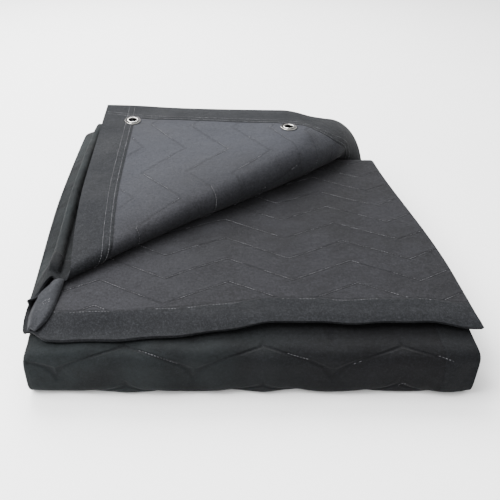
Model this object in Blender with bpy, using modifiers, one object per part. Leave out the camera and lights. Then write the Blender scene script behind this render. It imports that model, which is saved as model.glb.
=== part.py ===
"""Quilted sound dampening blanket, folded small, with the free corner of its top layer turned back.

The cloth is folded twice. Across the width it goes back and forth in four panels. Along its
length that band of four layers is then wound flat, in four runs one above the other. The free
corner of the outermost panel is turned over a slanting roll, so its underside shows on top.
X is the width, Y goes from front to back and Z is up. The stack stands on Z = 0.
"""

import math

import bmesh
import bpy
from mathutils import Vector

# Cloth
CLOTH = 0.0036
LAYER = 0.0050
BAND = 4 * LAYER
SEAM_GAP = 0.0008

# Stack, with Y counted from its front
MIDDLE_Y = 0.245
LEFT_X = -0.249
RIGHT_X = 0.250
FRONT_Y = 0.0195
BACK_Y = 0.448
INNER_END_Y = 0.050
FOLD_BULGE = 1.2
FOLD_PUFF = 0.35
CORE = 0.0005

# Front and back folds of the band: extra reach beyond the band's own thickness
FRONT_REACH = 0.007
BACK_REACH = 0.020
FRONT_SQUARE = 4.5
BACK_SQUARE = 2.3
BACK_ARC = 0.124

# Front hems of the top run
HEM_INNER_Y = 0.052
HEM_LEFT_Y = 0.012
HEM_RIGHT_Y = 0.036
HEM_SHOWN_X = (-0.150, 0.050)
HEM_LEFT_ROUND = 0.014
HEM_LEFT_X = (-0.222, -0.247)
HEM_RIGHT_POINT = 0.006
HEM_RIGHT_X = (0.190, 0.240)
HEM_TOP_Y = 0.097
HEM_TOP_BACK = 0.007
HEM_TOP_BACK_X = (-0.222, -0.234)
HEM_TOP_FORWARD = 0.046
HEM_TOP_FORWARD_X = (-0.229, -0.251)
HEM_DROOP = 0.0075
DROOP_Y = (0.048, 0.016)

# Turned corner
TOP_RIGHT_X = 0.245
CREASE_X = -0.222
CREASE_ANGLE = math.radians(42.3)
ROLL_START = 0.0050
ROLL_END = 0.0330
ROLL_LENGTH = 0.540
ROLL_POWER = 1.35
CORNER_TO = (-0.215, 0.490)
BACK_HEM_BULGE = 0.040
BULGE_SKEW = 1.2
FLAP_SAG = 0.003
FLAP_SAG_FULL = 0.15
FLAP_LOWER = 0.018
FLAP_LOWER_LENGTH = 0.20

# Unevenness of the stack: an amount, and the stretches of X, Y or Z over which it comes in
STACK_WIDTH = 0.50
SWELL = 0.47
SWELL_POWER = 1.6
SWELL_Y = (-0.020, 0.480)
SHOULDER_DROP = 0.007
SHOULDER_X = (-0.218, -0.252)
SHOULDER_Z = (0.010, 0.070)
LEFT_DEEPER = 0.045
LEFT_DEEPER_Y = (0.300, 0.480)
LEFT_WIDER = 0.011
LEFT_WIDER_Y = (0.000, 0.300)
RIGHT_NARROWER = 0.026
RIGHT_NARROWER_X = (-0.020, 0.220)
RIGHT_NARROWER_Y = (0.120, 0.480)
FACE_NARROWER = 0.024
FACE_Y = (0.120, 0.000)
FACE_Z = (0.062, 0.058)
CORNER_OUT = 0.010
CORNER_X = (0.180, 0.250)
CORNER_Y = (0.050, 0.000)
CORNER_Z = (0.060, 0.068)
WAVE = 0.0016
WAVE_TURNS = (23.0, 9.0)

# Quilting
ZIG_WIDTH = 0.154
ZIG_HEIGHT = 0.042
ROW_PITCH = 0.048
GROOVE_DEPTH = 0.0012
GROOVE_HALF = 0.007
RUN_LENGTH = 0.44

# Eyelet strip and eyelets: the seat is the round patch of cloth that an eyelet presses flat
STRIP_WIDTH = 0.070
STRIP_END_Y = 0.400
EYELET_INSET = 0.050
EYELET_Y = (0.133, 0.3225)
EYELET_OUTER = 0.0134
EYELET_HOLE = 0.0068
EYELET_WALL = 0.0011
EYELET_LIP = 0.0008
EYELET_PROUD = 0.0016
EYELET_CLEAR = 0.0005
SEAT_FLAT = 0.024
SEAT_FADE = 0.022

# Grid: cells over each stretch of the cloth, hidden (plain) and shown (fine)
PANEL_CELLS = 4
PANEL_FINE = 26
TURNED_CELLS = 25
CREASE_CELLS = 4
STRIP_CELLS = 5
FOLD_CELLS = 5
RUN_CELLS = 4
RUN_FINE = 19
RUN_FINE_END = 3
HEM_CELLS = 2
HEM_FINE = 3
BEND_CELLS = 7
BEND_FINE = 10

BLACK_CLOTH = (0.022, 0.022, 0.026, 1.0)
GREY_CLOTH = (0.060, 0.064, 0.078, 1.0)
NICKEL = (0.62, 0.61, 0.58, 1.0)


def between(start, end, share):
    return start + (end - start) * share


def ease(share):
    share = min(max(share, 0.0), 1.0)
    return share * share * (3.0 - 2.0 * share)


def rise(value, stretch):
    """0 before the stretch, 1 after it, and a smooth rise along it, whichever way it runs."""
    return ease((value - stretch[0]) / (stretch[1] - stretch[0]))


def bend(share, square):
    """Reach and height of a fold that swings from straight down to straight up, each from -1 to 1."""
    angle = math.pi * (share - 0.5)
    power = 2.0 / square
    reach = abs(math.cos(angle)) ** power
    height = math.copysign(abs(math.sin(angle)) ** power, math.sin(angle))
    return reach, height


def across(u, v):
    """Place across the width and depth inside the band, with a panel or a side fold for each unit of u."""
    right_top = between(RIGHT_X, TOP_RIGHT_X, ease(v - 5.0))
    hem_ends = (RIGHT_X, LEFT_X, LEFT_X, RIGHT_X, RIGHT_X, LEFT_X, LEFT_X, right_top)
    part = min(int(u), 6)
    share = u - part
    if part % 2 == 0:
        return between(hem_ends[part], hem_ends[part + 1], share), (part / 2 + 0.5) * LAYER
    side = -1.0 if part in (1, 5) else 1.0
    angle = math.pi * share
    depth = (part + 1) / 2 * LAYER - LAYER / 2 * math.cos(angle) * (1.0 + FOLD_PUFF * math.sin(angle))
    return hem_ends[part] + side * FOLD_BULGE * LAYER / 2 * math.sin(angle), depth


def hem_y(x, depth):
    """Y of the front hem of the top run, which each layer reaches to a different place."""
    shown = between(HEM_LEFT_Y, HEM_RIGHT_Y, rise(x, HEM_SHOWN_X))
    shown += HEM_LEFT_ROUND * rise(x, HEM_LEFT_X) - HEM_RIGHT_POINT * rise(x, HEM_RIGHT_X)
    if depth <= 2.5 * LAYER:
        return between(HEM_INNER_Y, shown, ease(depth / LAYER - 1.5))
    top = HEM_TOP_Y + HEM_TOP_BACK * rise(x, HEM_TOP_BACK_X) - HEM_TOP_FORWARD * rise(x, HEM_TOP_FORWARD_X)
    return between(shown, top, ease(depth / LAYER - 2.5))


def along(v, depth, x):
    """Y and Z of the wound band, with a run or a bend for each unit of v."""
    part = min(int(v), 6)
    share = v - part
    if part == 0:
        return between(INNER_END_Y, BACK_Y, share), 2 * BAND - CORE - depth
    if part == 1:
        reach, height = bend(share, 2.0)
        return BACK_Y + (CORE + depth) * reach, 2 * BAND + (CORE + depth) * height
    if part == 2:
        return between(BACK_Y, FRONT_Y, share), 2 * BAND + CORE + depth
    if part == 3:
        reach, height = bend(1.0 - share, FRONT_SQUARE)
        top = 2 * BAND + CORE + depth
        low = BAND - depth
        return FRONT_Y - (FRONT_REACH + depth) * reach, (top + low) / 2 + (top - low) / 2 * height
    if part == 4:
        return between(FRONT_Y, BACK_Y, share), BAND - depth
    if part == 5:
        reach, height = bend(share, BACK_SQUARE)
        return BACK_Y + (BACK_REACH + depth) * reach, 2 * BAND + (BAND + depth) * height
    y = between(BACK_Y, hem_y(x, depth), share)
    droop = HEM_DROOP * ease(depth / LAYER - 1.5) * (1.0 - ease(depth / LAYER - 2.5))
    return y, 3 * BAND + depth - droop * rise(y, DROOP_Y)


def outermost(x, flat_y):
    """Middle of the outermost panel where it lies unturned; past BACK_Y, flat_y follows the back fold."""
    if flat_y <= BACK_Y:
        return Vector((x, flat_y, 3 * BAND + 3.5 * LAYER))
    y, z = along(6.0 - (flat_y - BACK_Y) / BACK_ARC, 3.5 * LAYER, x)
    return Vector((x, y, z))


def roll_radius(reach):
    """Radius of the roll, this far along the crease."""
    return between(ROLL_START, ROLL_END, min(max(reach, 0.0) / ROLL_LENGTH, 1.0) ** ROLL_POWER)


def turned(x, flat_y):
    """The outermost panel with its free corner turned over the slanting roll."""
    way = Vector((math.cos(CREASE_ANGLE), math.sin(CREASE_ANGLE)))
    out = Vector((way.y, -way.x))
    origin = Vector((CREASE_X, HEM_TOP_Y))
    flat = Vector((x, flat_y))
    reach = (flat - origin).dot(way)
    beyond = (flat - origin).dot(out)
    if beyond <= 0.0:
        return outermost(x, flat_y)

    width = TOP_RIGHT_X - CREASE_X
    corner_reach = width * way.x
    corner_free = width * way.y - math.pi * roll_radius(corner_reach)
    back = (Vector(CORNER_TO) - origin - way * corner_reach) / corner_free

    # From the crease to the free hem, along this strip of the corner
    strip = reach * way.y / way.x if reach < corner_reach else (width - reach * way.x) / way.y
    strip = max(strip, 1e-6)
    roll = roll_radius(reach)
    along_hem = min(max((reach - corner_reach) / (width / way.x - corner_reach), 0.0), 1.0)
    bulge = BACK_HEM_BULGE * math.sin(math.pi * along_hem ** BULGE_SKEW) * min(beyond / strip, 1.0) ** 2
    foot = origin + way * reach
    start = outermost(foot.x, foot.y)
    behind = (outermost(foot.x, foot.y + 0.004) - outermost(foot.x, foot.y - 0.004)).normalized()
    up = Vector((1.0, 0.0, 0.0)).cross(behind)
    free = beyond - math.pi * roll
    if free < 0.0:
        angle = beyond / roll
        swing = Vector((out.x, 0.0, 0.0)) + behind * out.y
        return start + swing * roll * math.sin(angle) + up * roll * (1.0 - math.cos(angle)) + Vector((0.0, bulge, 0.0))
    move = back * free
    whole = max(strip - math.pi * roll, 1e-6)
    sag = FLAP_SAG * math.sin(math.pi * min(free / whole, 1.0)) ** 2 * min(whole / FLAP_SAG_FULL, 1.0)
    lower = sag + FLAP_LOWER * ease(free / FLAP_LOWER_LENGTH)
    return start + up * 2 * roll + Vector((move.x, move.y + bulge, -lower))


def uneven(spot):
    """The stack's own unevenness: swollen at the back left, narrower at the back right, gently wavy."""
    x, y, z = spot
    from_right = (RIGHT_X - x) / STACK_WIDTH
    left = ease(from_right) ** SWELL_POWER
    deeper = LEFT_DEEPER * max(from_right, 0.0) ** SWELL_POWER * rise(y, LEFT_DEEPER_Y)
    wider = LEFT_WIDER * left * rise(y, LEFT_WIDER_Y)
    narrower = RIGHT_NARROWER * rise(x, RIGHT_NARROWER_X) * rise(y, RIGHT_NARROWER_Y)
    face = FACE_NARROWER * rise(y, FACE_Y) * rise(z, FACE_Z)
    pinch = CORNER_OUT * rise(x, CORNER_X) * rise(y, CORNER_Y) * rise(z, CORNER_Z)
    shoulder = min(max((SHOULDER_X[0] - x) / (SHOULDER_X[0] - SHOULDER_X[1]), 0.0), 1.0) ** 2
    z -= SHOULDER_DROP * shoulder * rise(z, SHOULDER_Z)
    swell = SWELL * left * rise(y, SWELL_Y) * max(z - LAYER, 0.0)
    new_x = x * (1.0 - face) + pinch - narrower - wider
    return Vector((new_x, y + deeper - MIDDLE_Y, z + swell - LAYER / 2 + CLOTH / 2))


def folded(u, v):
    """Middle of the cloth at u, v, before the eyelets press it flat."""
    x, depth = across(u, v)
    y, z = along(v, depth, x)
    spot = Vector((x, y, z))
    if u >= 6.0 and v >= 5.0:
        flat_y = y if v >= 6.0 else BACK_Y + (6.0 - v) * BACK_ARC
        spot = turned(x, flat_y)
    return uneven(spot)


def middle(u, v):
    """Middle of the cloth at u, v, pressed flat under each eyelet."""
    spot = folded(u, v)
    if u < 6.0 or v < 6.0:
        return spot
    for at_u, at_v, centre, up in SEATS:
        away = math.hypot((u - at_u) * (TOP_RIGHT_X - LEFT_X), (v - at_v) * (BACK_Y - HEM_TOP_Y))
        press = 1.0 - ease((away - SEAT_FLAT) / SEAT_FADE)
        spot = spot - up * (spot - centre).dot(up) * press
    return spot


def normal_of(surface, u, v):
    """Direction square to a surface at u, v."""
    step = 1e-4
    u0, u1 = max(u - step, 0.0), min(u + step, 7.0)
    v0, v1 = max(v - step, 0.0), min(v + step, 7.0)
    return (surface(u1, v) - surface(u0, v)).cross(surface(u, v1) - surface(u, v0)).normalized()


def face_point(u, v, side, sunk):
    """Point of the cloth's upper (side 1) or lower (side -1) face, sunk by the quilting."""
    return middle(u, v) + normal_of(middle, u, v) * side * (CLOTH / 2 - sunk)


def zig(x):
    """Height of the zigzag rows above their lowest points."""
    phase = (x / ZIG_WIDTH) % 1.0
    return ZIG_HEIGHT * (1.0 - abs(2.0 * phase - 1.0))


def groove(x, length):
    """How far the nearest row of quilting sinks the face."""
    off = (length - zig(x)) / ROW_PITCH % 1.0
    off = min(off, 1.0 - off) * ROW_PITCH
    return GROOVE_DEPTH * max(1.0 - off / GROOVE_HALF, 0.0)


def wave(x, v):
    """How far the outer face of the front and back folds stands out in soft wrinkles."""
    wrinkle = 0.5 + 0.5 * math.sin(x * WAVE_TURNS[0] + 0.6 + v) * math.sin(x * WAVE_TURNS[1] + 2.0)
    return -WAVE * wrinkle * math.sin(math.pi * (v % 1.0)) ** 2


def steps(start, end, count):
    return [round(between(start, end, i / count), 6) for i in range(count + 1)]


def strip_u(inset):
    """u on the outermost panel, at this distance from its free hem."""
    return 7.0 - inset / (TOP_RIGHT_X - LEFT_X)


def run_v(y):
    """v on the top run of the outermost panel, at this Y."""
    return 6.0 + (BACK_Y - y) / (BACK_Y - HEM_TOP_Y)


def seat(y):
    """u, v, centre and upward direction of the eyelet at this Y."""
    u = strip_u(EYELET_INSET)
    v = run_v(y)
    return u, v, folded(u, v), normal_of(folded, u, v)


SEATS = [seat(y) for y in EYELET_Y]
STRIP_U = round(strip_u(STRIP_WIDTH), 6)
STRIP_V = round(run_v(STRIP_END_Y), 6)
HEM_V = 6.88
CREASE_U = round(6.0 + 0.75 * (RIGHT_X - LEFT_X) / (TOP_RIGHT_X - LEFT_X), 6)
U_MARKS = (0.0, 1.0, 2.0, 3.0, 4.0, 5.0, 6.0, CREASE_U, STRIP_U, 7.0)
V_MARKS = (0.0, 1.0, 2.0, 3.0, 4.0, 5.0, 6.0, STRIP_V, HEM_V, 7.0)
U_CELLS = (PANEL_CELLS, FOLD_CELLS, PANEL_CELLS, FOLD_CELLS, PANEL_CELLS, FOLD_CELLS, PANEL_CELLS - 1, 1, 1)
V_CELLS = (RUN_CELLS, FOLD_CELLS, RUN_CELLS, BEND_CELLS, RUN_CELLS, BEND_CELLS, 1, RUN_CELLS, HEM_CELLS)

# Finer stretches: u stretch, v stretch, face, cells along u, cells along v
FINE = (
    (4, 6, 1, PANEL_FINE, RUN_FINE_END),
    (4, 7, 1, PANEL_FINE, RUN_FINE),
    (4, 8, 1, PANEL_FINE, HEM_FINE),
    (6, 6, 1, TURNED_CELLS, RUN_FINE_END),
    (6, 7, 1, TURNED_CELLS, RUN_FINE),
    (6, 8, 1, TURNED_CELLS, HEM_FINE),
    (7, 5, 1, CREASE_CELLS, BEND_FINE),
    (7, 6, 1, CREASE_CELLS, RUN_FINE_END),
    (7, 7, 1, CREASE_CELLS, RUN_FINE),
    (7, 8, 1, CREASE_CELLS, HEM_FINE),
    (8, 5, 1, STRIP_CELLS, BEND_FINE),
    (8, 6, 1, STRIP_CELLS, RUN_FINE_END),
    (6, 6, -1, TURNED_CELLS, RUN_FINE_END),
    (6, 7, -1, TURNED_CELLS, RUN_FINE),
    (6, 8, -1, TURNED_CELLS, HEM_FINE),
    (7, 5, -1, CREASE_CELLS, BEND_FINE),
    (7, 6, -1, CREASE_CELLS, RUN_FINE_END),
    (7, 7, -1, CREASE_CELLS, RUN_FINE),
    (7, 8, -1, CREASE_CELLS, HEM_FINE),
    (8, 5, -1, STRIP_CELLS, BEND_FINE),
    (8, 6, -1, STRIP_CELLS, RUN_FINE_END),
    (6, 3, -1, TURNED_CELLS, BEND_FINE),
    (7, 3, -1, CREASE_CELLS, BEND_FINE),
    (8, 3, -1, STRIP_CELLS, BEND_FINE),
    (6, 5, -1, TURNED_CELLS, BEND_FINE),
)


def sheet(name, u_marks, v_marks, u_cells, v_cells, fine, left_out):
    """One closed solid of cloth, as a grid on each face with a rim between them."""
    mesh = bmesh.new()
    made = {}
    on_u = {}
    on_v = {}
    patches = {}
    chosen = {(row[0], row[1], row[2]): (row[3], row[4]) for row in fine}
    for side in (1, -1):
        for i in range(len(u_marks) - 1):
            for j in range(len(v_marks) - 1):
                if (i, j) in left_out:
                    continue
                cells = chosen.get((i, j, side), (u_cells[i], v_cells[j]))
                us = steps(u_marks[i], u_marks[i + 1], cells[0])
                vs = steps(v_marks[j], v_marks[j + 1], cells[1])
                patches[(i, j, side)] = (us, vs)
                for u in us:
                    for v in vs:
                        if (u, v, side) in made:
                            continue
                        x, _ = across(u, v)
                        sunk = groove(x, v * RUN_LENGTH) if (i, j, side) in chosen else 0.0
                        if j in (3, 5) and side == -1:
                            sunk += wave(x, v)
                        inside = us[0] < u < us[-1] and vs[0] < v < vs[-1]
                        made[(u, v, side)] = mesh.verts.new(face_point(u, v, side, sunk if inside else 0.0))
                        on_u.setdefault((u, side), set()).add(v)
                        on_v.setdefault((v, side), set()).add(u)

    def line_u(v, side, u0, u1):
        return [made[(u, v, side)] for u in sorted(on_v[(v, side)]) if u0 <= u <= u1]

    def line_v(u, side, v0, v1):
        return [made[(u, v, side)] for v in sorted(on_u[(u, side)]) if v0 <= v <= v1]

    for (i, j, side), (us, vs) in patches.items():
        for u0, u1 in zip(us, us[1:]):
            for v0, v1 in zip(vs, vs[1:]):
                ring = line_u(v0, side, u0, u1)
                ring += line_v(u1, side, v0, v1)[1:]
                ring += line_u(v1, side, u0, u1)[::-1][1:]
                ring += line_v(u0, side, v0, v1)[::-1][1:-1]
                if len(ring) == 4 and u0 >= 6.0:
                    pieces = [(ring[0], ring[1], ring[3]), (ring[1], ring[2], ring[3])]
                else:
                    pieces = [ring]
                for piece in pieces:
                    mesh.faces.new(piece if side == 1 else piece[::-1])

    def rim(upper, lower, turn):
        ring = upper + lower[::-1]
        pieces = [ring]
        if len(ring) == 4:
            pieces = [(ring[0], ring[1], ring[2]), (ring[0], ring[2], ring[3])]
        for piece in pieces:
            mesh.faces.new(piece[::-1] if turn else piece)

    for (i, j, side), (us, vs) in patches.items():
        if side == -1:
            continue
        other = patches[(i, j, -1)]
        shared_u = sorted(set(us) & set(other[0]))
        shared_v = sorted(set(vs) & set(other[1]))
        for near, edge, turn in (((i, j - 1), vs[0], True), ((i, j + 1), vs[-1], False)):
            if (near[0], near[1], 1) in patches:
                continue
            for u0, u1 in zip(shared_u, shared_u[1:]):
                rim(line_u(edge, 1, u0, u1), line_u(edge, -1, u0, u1), turn)
        for near, edge, turn in (((i - 1, j), us[0], False), ((i + 1, j), us[-1], True)):
            if (near[0], near[1], 1) in patches:
                continue
            for v0, v1 in zip(shared_v, shared_v[1:]):
                rim(line_v(edge, 1, v0, v1), line_v(edge, -1, v0, v1), turn)

    data = bpy.data.meshes.new(name)
    mesh.to_mesh(data)
    mesh.free()
    data.shade_smooth()
    return bpy.data.objects.new(name, data)


def material(name, colour, roughness, metallic):
    made = bpy.data.materials.new(name)
    made.use_nodes = True
    shader = made.node_tree.nodes["Principled BSDF"]
    shader.inputs["Base Color"].default_value = colour
    shader.inputs["Roughness"].default_value = roughness
    shader.inputs["Metallic"].default_value = metallic
    return made


def main():
    for old in list(bpy.data.objects):
        bpy.data.objects.remove(old)

    shown = bpy.data.collections.new("quilted_blanket")
    helpers = bpy.data.collections.new("helpers")
    bpy.context.scene.collection.children.link(shown)
    bpy.context.scene.collection.children.link(helpers)

    blanket = sheet("blanket", U_MARKS, V_MARKS, U_CELLS, V_CELLS, FINE, {(8, 7), (8, 8)})
    blanket.data.materials.append(material("black_quilted_cloth", BLACK_CLOTH, 0.92, 0.0))
    shown.objects.link(blanket)

    gap_u = round(STRIP_U + SEAM_GAP / (TOP_RIGHT_X - LEFT_X), 6)
    gap_v = round(STRIP_V + SEAM_GAP / (BACK_Y - HEM_TOP_Y), 6)
    next_u = steps(STRIP_U, 7.0, STRIP_CELLS)[1]
    next_v = steps(STRIP_V, HEM_V, RUN_FINE)[1]
    strip = sheet("eyelet_hem", (gap_u, next_u, 7.0), (gap_v, next_v, HEM_V, 7.0),
                  (1, STRIP_CELLS - 1), (1, RUN_FINE - 1, HEM_FINE), (), set())
    strip.data.materials.append(material("grey_hem_cloth", GREY_CLOTH, 0.9, 0.0))
    shown.objects.link(strip)

    nickel = material("nickel", NICKEL, 0.25, 1.0)
    wall = EYELET_HOLE + EYELET_WALL
    half = CLOTH / 2 + EYELET_CLEAR
    tall = half + EYELET_PROUD
    for number, (_, _, spot, up) in enumerate(SEATS, 1):
        turn = up.to_track_quat("Z", "Y")

        bpy.ops.mesh.primitive_cylinder_add(vertices=24, radius=wall + EYELET_CLEAR, depth=0.03)
        cutter = bpy.context.object
        cutter.name = f"cutter_{number}"
        cutter.location = spot
        cutter.rotation_mode = "QUATERNION"
        cutter.rotation_quaternion = turn
        cutter.hide_render = True
        cutter.display_type = "WIRE"
        for owner in list(cutter.users_collection):
            owner.objects.unlink(cutter)
        helpers.objects.link(cutter)
        cut = strip.modifiers.new(f"hole_{number}", "BOOLEAN")
        cut.operation = "DIFFERENCE"
        cut.object = cutter

        # Half section of a pressed ring, from its top inside to its bottom inside and back round the cloth
        section = (
            (EYELET_HOLE, tall - EYELET_LIP),
            (EYELET_HOLE + EYELET_LIP, tall),
            (EYELET_OUTER - 2 * EYELET_LIP, tall),
            (EYELET_OUTER, half + EYELET_LIP / 2),
            (EYELET_OUTER, half),
            (wall, half),
            (wall, -half),
            (EYELET_OUTER - EYELET_WALL, -half),
            (EYELET_OUTER - EYELET_WALL, -half - EYELET_LIP),
            (EYELET_HOLE, -half - EYELET_LIP),
        )
        ring = bpy.data.meshes.new(f"eyelet_{number}")
        points = [(r, 0.0, z) for r, z in section]
        ring.from_pydata(points, [(k, (k + 1) % len(points)) for k in range(len(points))], [])
        eyelet = bpy.data.objects.new(f"eyelet_{number}", ring)
        eyelet.data.materials.append(nickel)
        eyelet.location = spot
        eyelet.rotation_mode = "QUATERNION"
        eyelet.rotation_quaternion = turn
        shown.objects.link(eyelet)
        spin = eyelet.modifiers.new("turn", "SCREW")
        spin.steps = 24
        spin.render_steps = 24
        spin.use_merge_vertices = True
        spin.merge_threshold = 0.00001
        spin.use_normal_calculate = True


main()
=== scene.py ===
import math

import bpy
import numpy as np
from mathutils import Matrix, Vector


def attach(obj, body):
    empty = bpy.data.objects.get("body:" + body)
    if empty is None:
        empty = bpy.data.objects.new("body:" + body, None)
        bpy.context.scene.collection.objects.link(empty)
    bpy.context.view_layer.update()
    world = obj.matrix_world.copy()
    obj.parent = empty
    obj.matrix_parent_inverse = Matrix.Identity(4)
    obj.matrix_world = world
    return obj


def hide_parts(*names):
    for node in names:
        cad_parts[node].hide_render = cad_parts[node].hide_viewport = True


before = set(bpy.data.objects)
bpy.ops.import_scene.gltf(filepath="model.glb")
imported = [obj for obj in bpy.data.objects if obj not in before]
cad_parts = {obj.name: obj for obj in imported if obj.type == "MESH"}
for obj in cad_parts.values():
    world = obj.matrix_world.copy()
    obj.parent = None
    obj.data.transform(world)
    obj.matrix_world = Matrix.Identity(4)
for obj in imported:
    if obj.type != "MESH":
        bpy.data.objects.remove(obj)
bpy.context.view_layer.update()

# The quilted cloth: one sheet of cotton and polyester with a thin wadding, quilted in zigzag rows and
# hemmed all round. It is folded back and forth in four panels, then wound flat in four runs, and the
# free corner of its outermost panel is turned back over a slanting roll.
cloth_thick = 0.0036
layer = 0.0050
band = 4 * layer
left_x, right_x, top_right_x = -0.249, 0.250, 0.245
front_y, back_y, inner_end_y = 0.0195, 0.448, 0.050
middle_y = 0.245
back_arc = 0.124
hem_band = 0.038
crease_from = np.array((-0.222, 0.097))
crease_angle = math.radians(42.3)
corner_to = np.array((-0.215, 0.490))
row_pitch = 0.047
zig_period = 0.154
zig_height = 0.043


def ease(share):
    share = np.clip(share, 0.0, 1.0)
    return share * share * (3.0 - 2.0 * share)


def rise(value, stretch):
    """0 at the stretch's start and 1 at its end, with a soft passage between them."""
    start, end = stretch
    return ease((value - start) / (end - start))


def between(start, end, share):
    return start + (end - start) * share


def fold_shape(share, square):
    """Half a rounded bend: how far out it reaches, and its height, for a share of the way round."""
    angle = math.pi * (share - 0.5)
    power = 2.0 / square
    reach = np.abs(np.cos(angle)) ** power
    return reach, np.sign(np.sin(angle)) * np.abs(np.sin(angle)) ** power


bend_bulge, bend_skew = 0.6 * layer, 0.35


def across(u, v):
    """Place across the width, and depth in the band of four panels."""
    ends = np.array((right_x, left_x, left_x, right_x, right_x, left_x, left_x, right_x))
    part = np.minimum(u.astype(int), 6)
    share = u - part
    first = ends[part]
    last = np.where(part == 6, between(right_x, top_right_x, ease(v - 5.0)), ends[part + 1])
    side = np.where((part == 1) | (part == 5), -1.0, 1.0)
    angle = math.pi * share
    panel = part % 2 == 0
    x = np.where(panel, between(first, last, share), first + side * bend_bulge * np.sin(angle))
    turning = (part + 1) / 2 * layer - layer / 2 * np.cos(angle) * (1.0 + bend_skew * np.sin(angle))
    return x, np.where(panel, (part / 2 + 0.5) * layer, turning)


shown_depth, top_depth = 2.5 * layer, 3.5 * layer
to_shown, to_top = (1.5, 2.5), (2.5, 3.5)
hem_inner_y, hem_shown_left, hem_shown_right, hem_shown_x = 0.052, 0.012, 0.036, (-0.15, 0.05)
hem_waves = ((0.0012, 41.0), (0.0008, 97.0))
hem_left_back, hem_left_x = 0.014, (-0.222, -0.247)
hem_right_forward, hem_right_x = 0.006, (0.19, 0.24)
hem_top_back, hem_top_back_x = 0.007, (0.0, 0.012)
hem_top_forward, hem_top_forward_x = 0.046, (0.007, 0.029)


def front_hem(x, depth):
    """Where each layer of the top run ends at the front."""
    shown = between(hem_shown_left, hem_shown_right, rise(x, hem_shown_x))
    for height, speed in hem_waves:
        shown = shown + height * np.sin(x * speed)
    shown = shown + hem_left_back * rise(x, hem_left_x) - hem_right_forward * rise(x, hem_right_x)
    over = np.maximum(crease_from[0] - x, 0.0)
    top = crease_from[1] + hem_top_back * rise(over, hem_top_back_x)
    top = top - hem_top_forward * rise(over, hem_top_forward_x)
    inner = between(hem_inner_y, shown, rise(depth / layer, to_shown))
    return np.where(depth <= shown_depth, inner, between(shown, top, rise(depth / layer, to_top)))


core = 0.0005
inner_square, front_square, back_square = 2.0, 4.5, 2.3
front_slack, back_slack = 0.007, 0.020
droop_height, droop_y = 0.0075, (0.048, 0.016)


def along(v, depth, x):
    """Depth into the stack and height of the wound band, a run or a bend for each unit of v."""
    part = np.minimum(v.astype(int), 6)
    share = v - part
    inner_reach, inner_height = fold_shape(share, inner_square)
    front_reach, front_height = fold_shape(1.0 - share, front_square)
    back_reach, back_height = fold_shape(share, back_square)
    front_top = 2 * band + core + depth
    front_low = band - depth
    last_y = between(back_y, front_hem(x, depth), share)
    droop = droop_height * rise(depth / layer, to_shown) * (1.0 - rise(depth / layer, to_top))
    droop = droop * rise(last_y, droop_y)
    y = np.choose(part, (
        between(inner_end_y, back_y, share),
        back_y + (core + depth) * inner_reach,
        between(back_y, front_y, share),
        front_y - (front_slack + depth) * front_reach,
        between(front_y, back_y, share),
        back_y + (back_slack + depth) * back_reach,
        last_y))
    z = np.choose(part, (
        2 * band - core - depth,
        2 * band + (core + depth) * inner_height,
        front_top,
        (front_top + front_low) / 2 + (front_top - front_low) / 2 * front_height,
        front_low,
        2 * band + (band + depth) * back_height,
        3 * band + depth - droop))
    return y, z


tuck_right, tuck_right_y, tuck_width = (-0.2235, -0.2150), (0.10, 0.49), 0.0125
tuck_right_slope, tuck_left_slope, tuck_end_slope = 0.0045, 0.0050, 0.009
tuck_end_y, tuck_end_skew, tuck_middle_x = 0.112, 0.5, -0.230
tuck_low, tuck_high, tuck_high_y, tuck_flat_y = 0.0080, 0.0130, (0.12, 0.32), (0.44, 0.47)
hollow_height, hollow_x, hollow_width, hollow_right_x = 0.0045, -0.236, 0.010, -0.2225
hollow_flat_y = (0.105, 0.165)


def tuck_height(x, y):
    """A narrow rounded tuck beside the turned corner, and a hollow under the cloth in front of it."""
    right = between(*tuck_right, (y - tuck_right_y[0]) / (tuck_right_y[1] - tuck_right_y[0]))
    inside = np.clip((right - x) / tuck_right_slope, 0.0, 1.0)
    outside = np.clip((x - right + tuck_width) / tuck_left_slope, 0.0, 1.0)
    near_end = np.clip((y - tuck_end_y + tuck_end_skew * (x - tuck_middle_x)) / tuck_end_slope, 0.0, 1.0)
    share = np.minimum(np.minimum(inside, outside), near_end)
    rounded = np.sqrt(np.clip(1.0 - (1.0 - share) ** 2, 0.0, 1.0))
    height = between(tuck_low, tuck_high, rise(y, tuck_high_y)) * (1.0 - rise(y, tuck_flat_y))
    hollow = hollow_height * np.exp(-((x - hollow_x) / hollow_width) ** 2) * (1.0 - rise(y, hollow_flat_y))
    return height * rounded + hollow * (x < hollow_right_x)


def unturned(x, flat_y):
    """Middle of the outermost panel before its corner is turned; past back_y it follows the back fold."""
    v = np.clip(6.0 - (flat_y - back_y) / back_arc, 5.0, 5.999999)
    depth = np.full_like(x, top_depth)
    y, z = along(v, depth, x)
    over = flat_y > back_y
    height = np.where(over, z, 3 * band + depth) + tuck_height(x, flat_y)
    return np.stack((x, np.where(over, y, flat_y), height), -1)


roll_left, roll_right, roll_length, roll_power = 0.0050, 0.0330, 0.54, 1.35


def roll_radius(reach):
    return between(roll_left, roll_right, np.clip(reach / roll_length, 0.0, 1.0) ** roll_power)


def beyond_crease(x, flat_y):
    """How far a place on the outermost panel lies past the crease that its corner is turned at."""
    return (x - crease_from[0]) * math.sin(crease_angle) - (flat_y - crease_from[1]) * math.cos(crease_angle)


slope_step = 0.004
hem_bulge, hem_bulge_power = 0.040, 1.2
flap_sag, flap_sag_full = 0.003, 0.15
flap_lower, flap_lower_length = 0.018, 0.2
flap_flatter, flap_flatter_x, flap_flatter_y = 0.26, (0.085, 0.185), (0.25, 0.40)


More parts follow.
